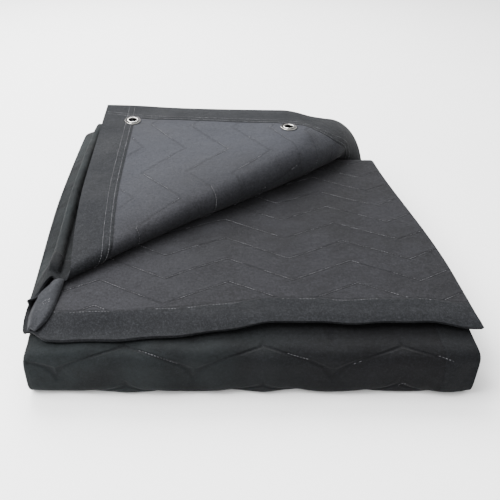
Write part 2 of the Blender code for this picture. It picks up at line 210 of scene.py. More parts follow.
def turned(x, flat_y):
    """The outermost panel with its free corner turned over the slanting roll."""
    way = np.array((math.cos(crease_angle), math.sin(crease_angle)))
    out = np.array((way[1], -way[0]))
    reach = (x - crease_from[0]) * way[0] + (flat_y - crease_from[1]) * way[1]
    beyond = beyond_crease(x, flat_y)
    width = top_right_x - crease_from[0]
    corner_reach = width * way[0]
    corner_free = width * way[1] - math.pi * roll_radius(corner_reach)
    back = (corner_to - crease_from - way * corner_reach) / corner_free
    strip = np.where(reach < corner_reach, reach * way[1] / way[0], (width - reach * way[0]) / way[1])
    strip = np.maximum(strip, 1e-6)
    roll = roll_radius(reach)
    along_hem = np.clip((reach - corner_reach) / (width / way[0] - corner_reach), 0.0, 1.0)
    bulge = hem_bulge * np.sin(math.pi * along_hem ** hem_bulge_power) * np.minimum(beyond / strip, 1.0) ** 2
    foot_x, foot_y = crease_from[0] + way[0] * reach, crease_from[1] + way[1] * reach
    start = unturned(foot_x, foot_y)
    behind = unturned(foot_x, foot_y + slope_step) - unturned(foot_x, foot_y - slope_step)
    behind[..., 0] = 0.0
    behind /= np.maximum(np.linalg.norm(behind, axis=-1, keepdims=True), 1e-9)
    up = np.stack((np.zeros_like(x), -behind[..., 2], behind[..., 1]), -1)
    free = beyond - math.pi * roll
    angle = np.clip(beyond / roll, 0.0, math.pi)
    swing = behind * out[1]
    swing[..., 0] = out[0]
    in_roll = start + swing * (roll * np.sin(angle))[..., None]
    in_roll = in_roll + up * (roll * (1.0 - np.cos(angle)))[..., None]
    whole = np.maximum(strip - math.pi * roll, 1e-6)
    share = np.clip(free / whole, 0.0, 1.0)
    sag = flap_sag * np.sin(math.pi * share) ** 2 * np.minimum(whole / flap_sag_full, 1.0)
    lower = flap_lower * ease(free / flap_lower_length)
    laid = start + up * (2 * roll)[..., None] + np.stack((back[0] * free, back[1] * free, -sag - lower), -1)
    moved = np.where((free < 0.0)[..., None], in_roll, laid)
    flatter = 1.0 - flap_flatter * rise(moved[..., 0], flap_flatter_x) * rise(moved[..., 1], flap_flatter_y)
    moved[..., 2] = start[..., 2] + (moved[..., 2] - start[..., 2]) * flatter
    moved[..., 1] += bulge
    return np.where((beyond <= 0.0)[..., None], unturned(x, flat_y), moved)


swell_from_x, swell_width, swell_power = 0.25, 0.50, 1.6
swell, swell_y = 0.47, (-0.02, 0.48)
deeper_left, deeper_left_y = 0.045, (0.30, 0.48)
face_narrower, face_y, face_z = 0.024, (0.0, 0.12), (0.058, 0.062)
pinch_out, pinch_x, pinch_y, pinch_z = 0.010, (0.18, 0.25), (0.0, 0.05), (0.060, 0.068)
right_narrower, right_narrower_x, right_narrower_y = 0.026, (-0.02, 0.22), (0.12, 0.48)
left_narrower, left_narrower_y = 0.011, (0.0, 0.30)
shoulder_drop, shoulder_x, shoulder_width, shoulder_z = 0.007, -0.218, 0.034, (0.010, 0.070)


def uneven(spot):
    """The stack's own unevenness: swollen at the back left, narrower at the back right."""
    x, y, z = spot[..., 0], spot[..., 1], spot[..., 2]
    share = np.maximum(swell_from_x - x, 0.0) / swell_width
    left = ease(share) ** swell_power
    face = (1.0 - rise(y, face_y)) * (1.0 - rise(z, face_z))
    pinch = rise(x, pinch_x) * (1.0 - rise(y, pinch_y)) * rise(z, pinch_z)
    new_x = x * (1.0 - face_narrower * face) + pinch_out * pinch
    new_x = new_x - right_narrower * rise(x, right_narrower_x) * rise(y, right_narrower_y)
    new_x = new_x - left_narrower * left * rise(y, left_narrower_y)
    new_y = y + deeper_left * share ** swell_power * rise(y, deeper_left_y)
    shoulder = np.clip((shoulder_x - x) / shoulder_width, 0.0, 1.0) ** 2 * rise(z, shoulder_z)
    z = z - shoulder_drop * shoulder
    new_z = z + swell * left * rise(y, swell_y) * np.maximum(z - layer, 0.0)
    return np.stack((new_x, new_y - middle_y, new_z - layer / 2 + cloth_thick / 2), -1)


def lying(u, v):
    """Middle of the folded cloth, before the eyelets press it flat."""
    x, depth = across(u, v)
    y, z = along(v, depth, x)
    flat_y = np.where(v >= 6.0, y, back_y + (6.0 - v) * back_arc)
    loose = (u >= 6.0) & (v >= 5.0)
    plain = np.stack((x, y, z), -1)
    return uneven(np.where(loose[..., None], turned(x, flat_y), plain))


def square_to(surface, u, v):
    """Unit vector square to a surface, towards its upper face."""
    step = 1e-4
    u0, u1 = np.maximum(u - step, 0.0), np.minimum(u + step, 7.0)
    v0, v1 = np.maximum(v - step, 0.0), np.minimum(v + step, 7.0)
    normal = np.cross(surface(u1, v) - surface(u0, v), surface(u, v1) - surface(u, v0))
    return normal / np.maximum(np.linalg.norm(normal, axis=-1, keepdims=True), 1e-12)


def hem_u(inset):
    return 7.0 - inset / (top_right_x - left_x)


def run_v(y):
    return 6.0 + (back_y - y) / (back_y - crease_from[1])


eyelet_inset, eyelet_ys = 0.050, (0.133, 0.3225)
seat_u = hem_u(eyelet_inset)
seat_vs = [run_v(eyelet_y) for eyelet_y in eyelet_ys]
strip_width, strip_end_y = 0.070, 0.400
seats = []
for seat_v in seat_vs:
    at = (np.array([seat_u]), np.array([seat_v]))
    seats.append((seat_v, lying(*at)[0], square_to(lying, *at)[0]))


def away_from(seat_v, u, v):
    """Distance to an eyelet's middle along the cloth."""
    return np.hypot((u - seat_u) * (top_right_x - left_x), (v - seat_v) * (back_y - crease_from[1]))


pressed_flat = (0.020, 0.042)


def middle(u, v):
    """Middle of the folded cloth, pressed flat under each eyelet."""
    spot = lying(u, v)
    for seat_v, centre, up in seats:
        press = (1.0 - rise(away_from(seat_v, u, v), pressed_flat)) * ((u >= 6.0) & (v >= 6.0))
        lift = ((spot - centre) @ up) * press
        spot = spot - up * lift[..., None]
    return spot


rows_shown_x, rows_turned_x, rows_front_x = 0.132, 0.039, 0.013
front_run, low_run = 0.094, 0.43
rows_back = front_run + low_run + back_arc


def quilt_place(u, v):
    """Place on the flat cloth, counted the way that the quilting's rows run."""
    x, depth = across(u, v)
    y, z = along(v, depth, x)
    part = np.minimum(v.astype(int), 6)
    share = v - part
    length = np.choose(part, (
        0.0 * v, 0.0 * v, 0.0 * v, front_run * share, front_run + low_run * share,
        front_run + low_run + back_arc * share, rows_back + back_y - y))
    width = np.where(u < 5.5, rows_shown_x - x, x + rows_turned_x)
    width = np.where((u >= 5.5) & (v < 4.9), x - rows_front_x, width)
    return width, length


def row_distance(width, length):
    """How far a place lies from the nearest zigzag row of stitches."""
    phase = width / zig_period - np.round(width / zig_period)
    zig = zig_height * (1.0 - 2.0 * np.abs(phase))
    off = (length + zig) / row_pitch
    return np.abs(off - np.round(off)) * row_pitch


def free_edge(u, v):
    """Distance to the nearest free edge of the cloth along its own surface."""
    x, depth = across(u, v)
    y, z = along(v, depth, x)
    end = np.where(v >= 6.0, y - front_hem(x, depth), 1.0)
    side = np.where(u >= 6.0, (7.0 - u) * (top_right_x - left_x), 1.0)
    return np.minimum(end, side)


quilt_turned, quilt_turned_from, quilt_turned_v = 0.6, (-0.004, 0.0), 5.3


def quilted(u, v):
    """How much the quilting shows: not on the narrow margin beside the turned corner."""
    x, depth = across(u, v)
    y, z = along(v, depth, x)
    turned_share = quilt_turned * rise(beyond_crease(x, y), quilt_turned_from)
    return np.where((u > 5.0) & (v > quilt_turned_v), turned_share, 1.0)


# Painted light on the turned corner: painted lighter than the same cloth on the panel below, and darker
# towards the roll as painted shade.
least_painted_light, painted_light_past_crease, painted_light_behind_v = 0.15, (0.010, 0.130), (5.2, 5.4)


def painted_light_share(u, v):
    """How much painted light the turned corner's inner face gets: least, as painted shade, where it leaves
    the roll.
    """
    x, depth = across(u, v)
    y, z = along(v, depth, x)
    flat_y = np.where(v >= 6.0, y, back_y + (6.0 - v) * back_arc)
    painted_light_here = between(least_painted_light, 1.0, rise(beyond_crease(x, flat_y), painted_light_past_crease))
    return (u > 6.0) * rise(v, painted_light_behind_v) * painted_light_here


wave_count, wave_scale, wave_finer, wave_lower = 5, 26.0, 1.45, 1.35


def wrinkles(p, q, seed):
    """Soft uneven folds of thick cloth, from -1 to 1."""
    total = 0.0
    for number in range(wave_count):
        turn = seed * 1.7 + number * 2.1
        scale = wave_scale * wave_finer ** number
        straight = scale * (p * math.cos(turn) + q * math.sin(turn))
        wave = np.sin(straight + 3.0 * np.sin(0.45 * scale * q + turn) + turn)
        total = total + wave / wave_lower ** number
    return total / 3.0


puff_height, puff_width, puff_sunk = 0.0003, 0.0055, 0.0002
pillow_height, pillow_width, pillow_sunk = 0.0018, 0.012, 0.0004
band_proud, band_step = 0.0004, (hem_band - 0.001, hem_band + 0.002)
wrinkle_height, wrinkle_seed, crease_height = 0.0009, 0.3, 0.0022
rim_share = (7.0, 6.98)


def cloth_face(u, v, side):
    """Point on the upper (1) or under (-1) face of the cloth, with quilting and wrinkles where it shows."""
    spot = middle(u, v)
    normal = square_to(middle, u, v)
    width, length = quilt_place(u, v)
    near_row = row_distance(width, length)
    on_band = 1.0 - rise(free_edge(u, v), band_step)
    puff = (1.0 - np.exp(-(near_row / puff_width) ** 2)) * (1.0 - on_band) * quilted(u, v)
    shown = ((u > 4.0) & (u < 5.0) & (v > 6.0) & (side > 0)) | ((u > 6.0) & (v > 5.0))
    outer = (u > 6.0) & (side < 0) & (v > 3.0) & (v < 6.0)
    detail = puff_height * puff - puff_sunk + band_proud * on_band
    detail = detail + wrinkle_height * wrinkles(width, length, wrinkle_seed)
    x = spot[..., 0]
    fade = np.sin(math.pi * np.clip(v - np.floor(v), 0.0, 1.0)) ** 2 * ((v > 3.0) & (v < 4.0))
    creases = crease_height * np.sin(x * 61.0 + 2.0 * np.sin(x * 23.0)) * np.sin(x * 17.0 + 1.0) * fade
    rim = rise(v, rim_share) * rise(u, rim_share)
    pillow = pillow_height * (1.0 - np.exp(-(near_row / pillow_width) ** 2)) - pillow_sunk
    detail = np.where(outer, detail + pillow + creases, detail) * (shown | outer) * rim
    spot = spot + normal * (side * cloth_thick / 2 + side * detail)[..., None]
    spot[..., 2] = np.maximum(spot[..., 2], 0.0)
    return spot


def cuts(table):
    """Grid lines from rows of start, end and number of cells."""
    lines = [0.0]
    for start, end, cells in table:
        lines += [start + (end - start) * k / cells for k in range(1, cells + 1)]
    return np.array(lines)


sharp_degrees = 50.0


def weave_sheet(name, us, vs, keep, face_of, whole_face):
    """A closed cloth: a grid on each face, and a rim round every edge and hole."""
    nu, nv = len(us), len(vs)
    u, v = np.meshgrid(us, vs, indexing="ij")
    upper, under = face_of(u, v, 1), face_of(u, v, -1)
    number = np.arange(nu * nv).reshape(nu, nv)
    kept = np.zeros((nu + 1, nv + 1), bool)
    kept[1:nu, 1:nv] = keep((u[:-1, :-1] + u[1:, 1:]) / 2, (v[:-1, :-1] + v[1:, 1:]) / 2)
    i, j = np.nonzero(kept)
    a, b, c, d = number[i - 1, j - 1], number[i, j - 1], number[i, j], number[i - 1, j]
    low = nu * nv
    faces = [np.stack((a, b, c, d), -1), np.stack((d, c, b, a), -1) + low]
    for di, dj, first, last in ((-1, 0, d, a), (1, 0, b, c), (0, -1, a, b), (0, 1, c, d)):
        open_side = ~kept[i + di, j + dj]
        p, q = first[open_side], last[open_side]
        faces.append(np.stack((q, p, p + low, q + low), -1))
    faces = np.concatenate(faces)
    points = np.concatenate((upper.reshape(-1, 3), under.reshape(-1, 3)))
    used = np.unique(faces)
    renumber = np.full(len(points), -1)
    renumber[used] = np.arange(len(used))
    mesh = bpy.data.meshes.new(name)
    mesh.from_pydata(points[used].tolist(), [], renumber[faces].tolist())
    width, length = quilt_place(u, v)
    places = np.tile(np.stack((width, length), -1).reshape(-1, 2), (2, 1))[used]
    corner = np.empty(len(mesh.loops), np.int64)
    mesh.loops.foreach_get("vertex_index", corner)
    mesh.uv_layers.new(name="cloth").uv.foreach_set("vector", places[corner].astype(np.float32).ravel())
    # The turned attribute carries the painted light and shade of the turned corner.
    for title, values in (("edge", free_edge(u, v)), ("turned", painted_light_share(u, v)), ("quilt", quilted(u, v))):
        both = np.tile(np.asarray(values, float).reshape(-1), 2)[used]
        mesh.attributes.new(title, "FLOAT", "POINT").data.foreach_set("value", both.astype(np.float32))
    mesh.shade_smooth()
    mesh.set_sharp_from_angle(angle=math.radians(sharp_degrees))
    piece = bpy.data.objects.new(name, mesh)
    bpy.context.scene.collection.objects.link(piece)
    on_under = np.zeros(len(faces), np.int32)
    on_under[len(i):2 * len(i)] = 1
    mesh.polygons.foreach_set("material_index", on_under if whole_face is None else on_under * 0 + whole_face)
    return piece


def node_tree(title):
    made = bpy.data.materials.new(title)
    made.use_nodes = True
    return made, made.node_tree, made.node_tree.nodes["Principled BSDF"]


def maths(tree, operation, first, second=None):
    node = tree.nodes.new("ShaderNodeMath")
    node.operation = operation
    for place, value in enumerate((first, second)):
        if value is None:
            continue
        if isinstance(value, (int, float)):
            node.inputs[place].default_value = value
        else:
            tree.links.new(value, node.inputs[place])
    return node.outputs[0]


def ramp(tree, factor, low, high, from_value, to_value):
    node = tree.nodes.new("ShaderNodeMapRange")
    node.interpolation_type = "SMOOTHSTEP"
    for title, value in (("From Min", low), ("From Max", high), ("To Min", from_value), ("To Max", to_value)):
        node.inputs[title].default_value = value
    tree.links.new(factor, node.inputs["Value"])
    return node.outputs["Result"]


def mixed(tree, factor, first, second):
    node = tree.nodes.new("ShaderNodeMix")
    node.data_type = "RGBA"
    for socket, value in ((node.inputs[0], factor), (node.inputs[6], first), (node.inputs[7], second)):
        if isinstance(value, (int, float, tuple)):
            socket.default_value = value
        else:
            tree.links.new(value, socket)
    return node.outputs[2]


def noise(tree, vector, scale, detail, rough):
    node = tree.nodes.new("ShaderNodeTexNoise")
    node.inputs["Scale"].default_value = scale
    node.inputs["Detail"].default_value = detail
    node.inputs["Roughness"].default_value = rough
    tree.links.new(vector, node.inputs["Vector"])
    return node.outputs["Fac"]


def attribute(tree, title):
    node = tree.nodes.new("ShaderNodeAttribute")
    node.attribute_name = title
    return node.outputs["Fac"]


weave_across, weave_along, weave_height = 0.0011, 0.0009, 0.00005
seam_width, pucker_width, band_edge = 0.0022, 0.016, 0.0006


def quilted_cloth(title, dark, light, hem_colour, painted_lit_colour, pale_fibre, left_painted_light, left_painted_light_colour, groove_depth):
    """Woven cloth with a fine rib, quilted rows, plain hem bands and a worn, dusty tone, with painted light
    on the turned corner and at the left, and painted shade in the quilting grooves.
    """
    made, tree, shader = node_tree(title)

    def times(first, second):
        return maths(tree, "MULTIPLY", first, second)

    def off_from(value, target):
        return maths(tree, "ABSOLUTE", maths(tree, "SUBTRACT", value, target))

    place = tree.nodes.new("ShaderNodeUVMap")
    place.uv_map = "cloth"
    parts = tree.nodes.new("ShaderNodeSeparateXYZ")
    tree.links.new(place.outputs[0], parts.inputs[0])
    across_rows, down_rows = parts.outputs[0], parts.outputs[1]
    phase = maths(tree, "DIVIDE", across_rows, zig_period)
    phase = off_from(phase, maths(tree, "ROUND", phase))
    zig = times(maths(tree, "SUBTRACT", 0.5, phase), 2 * zig_height)
    off = maths(tree, "DIVIDE", maths(tree, "ADD", down_rows, zig), row_pitch)
    near_row = times(off_from(off, maths(tree, "ROUND", off)), row_pitch)
    edge = attribute(tree, "edge")
    on_band = ramp(tree, edge, hem_band - band_edge, hem_band + band_edge, 1.0, 0.0)
    off_band = maths(tree, "SUBTRACT", 1.0, on_band)
    groove = times(ramp(tree, near_row, 0.0002, 0.0030 + groove_depth, 1.0, 0.0), off_band)
    groove = times(groove, attribute(tree, "quilt"))
    seam = ramp(tree, off_from(edge, hem_band), 0.0, seam_width, 1.0, 0.0)

    coordinate = tree.nodes.new("ShaderNodeTexCoord")
    whole = coordinate.outputs["Object"]
    dust = noise(tree, whole, 9.0, 6.0, 0.62)
    fibre = noise(tree, whole, 900.0, 3.0, 0.75)
    fleck = noise(tree, whole, 330.0, 5.0, 0.8)
    pucker = noise(tree, whole, 150.0, 3.0, 0.6)
    crumple = noise(tree, whole, 62.0, 5.0, 0.55)
    broad = noise(tree, whole, 17.0, 3.0, 0.5)

    base = mixed(tree, ramp(tree, dust, 0.35, 0.68, 0.0, 1.0), dark, light)
    # Painted light: the turned corner takes a lighter copy of the cloth, fading to painted shade where it
    # leaves the roll.
    painted_lit_base = mixed(tree, ramp(tree, dust, 0.30, 0.60, 0.55, 1.0), light, painted_lit_colour)
    base = mixed(tree, attribute(tree, "turned"), base, painted_lit_base)
    # Painted light from the left: a lighter, bluer tone in broad blotches, strongest at the left and gone by
    # the right.
    side = tree.nodes.new("ShaderNodeSeparateXYZ")
    tree.links.new(whole, side.inputs[0])
    left_light_patch = ramp(tree, side.outputs[0], -0.16, 0.14, left_painted_light, 0.0)
    left_light_patch = times(left_light_patch, ramp(tree, broad, 0.30, 0.60, 0.3, 1.0))
    base = mixed(tree, left_light_patch, base, left_painted_light_colour)
    base = mixed(tree, times(on_band, 0.90), base, hem_colour)
    # Painted shade along the quilting grooves, and a dark joint line along the hem band's seam.
    base = mixed(tree, times(maths(tree, "MAXIMUM", groove, seam), 0.42), base, (0.001, 0.001, 0.0015, 1.0))
    base = mixed(tree, ramp(tree, fleck, 0.36, 0.50, 0.36, 0.0), base, (0.002, 0.002, 0.002, 1.0))
    base = mixed(tree, ramp(tree, fleck, 0.50, 0.66, 0.0, 0.18), base, pale_fibre)
    base = mixed(tree, ramp(tree, fibre, 0.50, 0.66, 0.0, 0.25), base, pale_fibre)
    tree.links.new(base, shader.inputs["Base Color"])
    tree.links.new(ramp(tree, dust, 0.3, 0.7, 0.78, 0.95), shader.inputs["Roughness"])
    shader.inputs["Sheen Weight"].default_value = 0.02
    shader.inputs["Sheen Roughness"].default_value = 0.45
    shader.inputs["Specular IOR Level"].default_value = 0.08

    rib = maths(tree, "SINE", times(across_rows, 2 * math.pi / weave_across))
    cross_rib = maths(tree, "SINE", times(down_rows, 2 * math.pi / weave_along))
    height = times(times(rib, cross_rib), weave_height)
    beside_row = times(ramp(tree, near_row, 0.0, 0.010, 1.0, 0.0), off_band)
    beside_seam = ramp(tree, off_from(edge, hem_band - 0.004), 0.0, pucker_width, 1.0, 0.0)
    puckered = times(pucker, maths(tree, "MAXIMUM", beside_row, beside_seam))
    for source, most in ((crumple, 0.0016), (broad, 0.0030), (fibre, 0.00022), (puckered, 0.0011),
                         (groove, -groove_depth), (seam, -0.0004), (on_band, 0.0005)):
        height = maths(tree, "ADD", height, times(source, most))
    bump = tree.nodes.new("ShaderNodeBump")
    bump.inputs["Strength"].default_value = 0.9
    bump.inputs["Distance"].default_value = 1.0
    tree.links.new(height, bump.inputs["Height"])
    tree.links.new(bump.outputs[0], shader.inputs["Normal"])
    return made


def outside_strip(u, v):
    """False where the eyelet hem takes the cloth's place."""
    return (u < hem_u(strip_width)) | (v < run_v(strip_end_y))


strip_cells_u, strip_cells_v = 18, 94
cloth_us = cuts((
    (0, 1, 6), (1, 2, 6), (2, 3, 6), (3, 4, 8), (4, 5, 96), (5, 6, 12), (6, 6.09, 34),
    (6.09, hem_u(strip_width), 80), (hem_u(strip_width), 7, strip_cells_u)))
cloth_vs = cuts((
    (0, 1, 4), (1, 2, 4), (2, 3, 4), (3, 4, 24), (4, 5, 5), (5, 6, 22), (6, run_v(strip_end_y), 14),
    (run_v(strip_end_y), 7, strip_cells_v)))
cloth = weave_sheet("blanket_cloth", cloth_us, cloth_vs, outside_strip, cloth_face, None)
inside_cloth = quilted_cloth(
    "quilted_inside_cloth", dark=(0.0063, 0.0063, 0.0072, 1.0), light=(0.0125, 0.0125, 0.0143, 1.0),
    hem_colour=(0.0062, 0.0069, 0.0078, 1.0), painted_lit_colour=(0.0268, 0.0284, 0.0345, 1.0),
    pale_fibre=(0.052, 0.053, 0.060, 1.0), left_painted_light=0.35, left_painted_light_colour=(0.0235, 0.0240, 0.0268, 1.0),
    groove_depth=0.0006)
outside_cloth = quilted_cloth(
    "quilted_outside_cloth", dark=(0.0015, 0.0015, 0.0017, 1.0), light=(0.0052, 0.0054, 0.0060, 1.0),
    hem_colour=(0.0040, 0.0044, 0.0050, 1.0), painted_lit_colour=(0.0040, 0.0044, 0.0050, 1.0),
    pale_fibre=(0.022, 0.023, 0.027, 1.0), left_painted_light=0.75, left_painted_light_colour=(0.0102, 0.0128, 0.0134, 1.0),
    groove_depth=0.0016)
cloth.data.materials.append(inside_cloth)
cloth.data.materials.append(outside_cloth)
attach(cloth, "root")
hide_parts("blanket")

# The eyelet hem.
# Along the turned corner's free edge the cloth is bound in a doubled hem, sewn through with two rows of
# stitches. Its eyelets are punched just inside those stitches.
punched = 0.0095


def clear_of_eyelets(u, v):
    """False where an eyelet's hole goes through the cloth."""
    kept = ~outside_strip(u, v)
    for seat_v, centre, up in seats:
        kept &= away_from(seat_v, u, v) > punched
    return kept


strip_us, strip_vs = cloth_us[-strip_cells_u - 1:], cloth_vs[-strip_cells_v - 1:]
hem = weave_sheet("eyelet_hem_cloth", strip_us, strip_vs, clear_of_eyelets, cloth_face, 0)
hem.data.materials.append(inside_cloth)
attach(hem, "root")
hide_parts("eyelet_hem")

# The eyelets.
# Pressed nickel-plated rings with a rolled inner edge, closed over a washer through the hem.
eyelet_outer, eyelet_hole, eyelet_proud = 0.0134, 0.0068, 0.0019
lip, groove_at = eyelet_hole + 0.0012, eyelet_hole + 0.0026
half = cloth_thick / 2 + 0.0010
dome_high, groove_high, lip_drop = 0.0013, 0.0004, 0.0012
ring_steps = 64


def plated_metal(title, bright, worn, smudge_scale, least_rough, most_rough):
    """Nickel plate with smudges that dull its colour and its shine."""
    made, tree, shader = node_tree(title)
    coordinate = tree.nodes.new("ShaderNodeTexCoord")
    smudge = noise(tree, coordinate.outputs["Object"], smudge_scale, 4.0, 0.6)
    dulled = mixed(tree, ramp(tree, smudge, 0.35, 0.7, 0.0, 1.0), bright, worn)
    tree.links.new(dulled, shader.inputs["Base Color"])
    tree.links.new(ramp(tree, smudge, 0.3, 0.7, least_rough, most_rough), shader.inputs["Roughness"])
    shader.inputs["Metallic"].default_value = 1.0
    return made


nickel = plated_metal(
    "eyelet_nickel", bright=(0.46, 0.45, 0.43, 1.0), worn=(0.27, 0.265, 0.25, 1.0),
    smudge_scale=160.0, least_rough=0.10, most_rough=0.24)
# Painted shade: a near-black copy of the nickel for the ring's groove and the inside of its barrel, where
# shade falls.
painted_shade_nickel = plated_metal(
    "eyelet_painted_shade", bright=(0.012, 0.012, 0.012, 1.0), worn=(0.035, 0.034, 0.033, 1.0),
    smudge_scale=300.0, least_rough=0.35, most_rough=0.55)
ring_profile = [(eyelet_outer, half - 0.0006), (eyelet_outer, half)]
ring_profile += [(between(groove_at, eyelet_outer, math.cos(k * math.pi / 16)),
                  half + dome_high * math.sin(k * math.pi / 8)) for k in range(1, 8)]
ring_profile += [(between(lip, groove_at, math.cos(k * math.pi / 12)),
                  half + between(groove_high, eyelet_proud, math.sin(k * math.pi / 12))) for k in range(7)]
ring_profile += [(between(lip, eyelet_hole, math.sin(k * math.pi / 12)),
                  half + eyelet_proud - lip_drop + lip_drop * math.cos(k * math.pi / 12))
                 for k in range(1, 7)]
ring_profile += [(eyelet_hole, -half), (eyelet_outer - 0.0014, -half - 0.0009),
                 (eyelet_outer - 0.0009, -half)]
ring_profile += [(eyelet_hole + 0.0008, -half + 0.0002), (eyelet_hole + 0.0008, half - 0.0006)]
profile_size = len(ring_profile)
# The groove between dome and lip and the faces down into the barrel take the painted shade.
painted_shade_bands = [1 if 4 <= m <= 10 or m >= 20 else 0 for m in range(profile_size)]
for number, (seat_v, centre, up) in enumerate(seats, 1):
    turn = Vector(up).to_track_quat("Z", "Y").to_matrix()
    corners, quads = [], []
    for k in range(ring_steps):
        angle = 2 * math.pi * k / ring_steps
        for r, z in ring_profile:
            corners.append(turn @ Vector((r * math.cos(angle), r * math.sin(angle), z)) + Vector(centre))
        here, ahead = k * profile_size, (k + 1) % ring_steps * profile_size
        for m in range(profile_size):
            after = (m + 1) % profile_size
            quads.append((here + m, ahead + m, ahead + after, here + after))
    mesh = bpy.data.meshes.new(f"eyelet_ring_{number}")
    mesh.from_pydata(corners, [], quads)
    mesh.shade_smooth()
    mesh.materials.append(nickel)
    mesh.materials.append(painted_shade_nickel)
    mesh.polygons.foreach_set("material_index", painted_shade_bands * ring_steps)
    ring = bpy.data.objects.new(f"eyelet_ring_{number}", mesh)
    bpy.context.scene.collection.objects.link(ring)
    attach(ring, "root")
    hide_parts(f"eyelet_{number}")

# The folded hem end.
# At the front left corner the hem of the layer below ends in a doubled tongue of plain cloth, which is
# folded over and lies on the corner. Each row gives its distance from the front, middle and half width.
tongue_outline = ((0.0985, -0.2215, 0.0060), (0.0860, -0.2240, 0.0080), (0.0720, -0.2315, 0.0135),
                  (0.0580, -0.2345, 0.0150), (0.0450, -0.2352, 0.0142), (0.0340, -0.2368, 0.0114),
                  (0.0260, -0.2392, 0.0078), (0.0210, -0.2412, 0.0036))
tongue_clear, tongue_inset = 0.0010, 0.0005
tongue_under, tongue_thick, tongue_wrinkle = 0.0016, 0.0034, 0.0007
tongue_wave, tongue_wave_across, tongue_wave_along = 0.0010, 4.0, 60.0
back_lift, front_lift, left_drop = 0.0040, 0.0022, 0.0045


def on_lower_panel(x, y):
    """Place on the layer under the turned corner, from its width and its distance from the front."""
    end = front_hem(x, np.full_like(x, shown_depth))
    return 4.0 + (right_x - x) / (right_x - left_x), 6.0 + (back_y - y) / (back_y - end)


def tongue_face(u, v, side):
    """Point on the upper (1) or under (-1) face of the folded hem end."""
    ys, xs, halves = (np.array(column)[::-1] for column in zip(*tongue_outline))
    y = between(ys[0], ys[-1], v)
    reach = u * 2.0 - 1.0
    x = np.interp(y, ys, xs) + np.interp(y, ys, halves) * reach
    at_u, at_v = on_lower_panel(np.maximum(x, left_x + tongue_inset), y)
    under = cloth_face(at_u, np.minimum(at_v, 6.999), 1)
    edge = np.sqrt(np.clip(1.0 - reach ** 4, 0.0, 1.0))
    edge = edge * np.sqrt(np.clip(1.0 - (2.0 * v - 1.0) ** 6, 0.0, 1.0))
    wrinkle = tongue_wrinkle * wrinkles(x * 1.6, y * 1.6, 2.2)
    wrinkle = wrinkle + tongue_wave * np.cos(reach * tongue_wave_across + y * tongue_wave_along)
    lift = tongue_clear + tongue_under * edge
    if side > 0:
        lift = lift + (tongue_thick + wrinkle) * edge
    lift = lift + back_lift * rise(v, (0.45, 0.95)) + front_lift * rise(v, (0.30, 0.0))
    lift = lift - left_drop * rise(reach, (-0.35, -1.0)) * rise(v, (0.8, 0.5))
    past_side = np.minimum(x - left_x - tongue_inset, 0.0)
    return under + np.stack((past_side, np.zeros_like(x), lift), -1)


tongue = weave_sheet("folded_hem_end", np.linspace(0.0, 1.0, 30), np.linspace(0.0, 1.0, 60),
                     lambda u, v: np.ones(u.shape, bool), tongue_face, 0)
tongue.data.attributes["edge"].data.foreach_set("value", np.zeros(len(tongue.data.vertices), np.float32))
tongue.data.materials.append(quilted_cloth(
    "hem_end_cloth", dark=(0.0095, 0.0098, 0.0112, 1.0), light=(0.0190, 0.0195, 0.0225, 1.0),
    hem_colour=(0.0170, 0.0180, 0.0205, 1.0), painted_lit_colour=(0.0190, 0.0195, 0.0225, 1.0),
    pale_fibre=(0.060, 0.061, 0.068, 1.0), left_painted_light=0.0, left_painted_light_colour=(0.0190, 0.0195, 0.0225, 1.0),
    groove_depth=0.0006))
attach(tongue, "root")

# The sewing thread.
# Grey polyester thread in short lockstitches. Zigzag rows hold the wadding, and straight rows close the
# hems and the eyelet strip. A loose knot of it is left on the folded hem end.
stitch_gap, stitch_long, stitch_thick = 0.0034, 0.0030, 0.00055
least_long, most_long, stitch_seed = 0.75, 1.15, 7
first_row, last_row, row_step = -2, 24, 0.002
shown_share, turned_share, front_share, hem_share = 0.72, 0.45, 0.30, 0.50
hem_row_inset, strip_row_insets = 0.0022, (0.0030, 0.0095)
lower_proud, turned_proud, strip_proud, knot_proud = 0.0007, 0.0009, 0.0002, 0.0004
past_crease, past_band, past_eyelet = 0.004, 0.003, 0.0010
knot_turns, knot_steps, knot_middle = 1.1, 24, (0.66, 0.46)
knot_size, knot_drift = (0.13, 0.045), 0.004


def on_turned_panel(x, flat_y):
    """Place on the outermost panel, from its width and its distance from the front along the cloth."""
    end = front_hem(x, np.full_like(x, top_depth))
    run = 6.0 + (back_y - flat_y) / (back_y - end)
    at_v = np.where(flat_y <= back_y, run, 6.0 - (flat_y - back_y) / back_arc)
    return 6.0 + (x - left_x) / (top_right_x - left_x), at_v


def zigzag(width, row):
    """A row's length along the cloth at each width; row_distance is 0 there."""
    phase = width / zig_period - np.round(width / zig_period)
    return row * row_pitch - zig_height * (1.0 - 2.0 * np.abs(phase))


def standing_clear(width, row, share):
    """Where the thread stands clear of the cloth; elsewhere it is sunk into the quilting."""
    wave = np.sin(width * 83.0 + row * 2.3) + np.sin(width * 37.0 + row * 4.1)
    wave = wave + 0.6 * np.sin(width * 191.0 + row)
    return wave > between(2.4, -2.4, share)


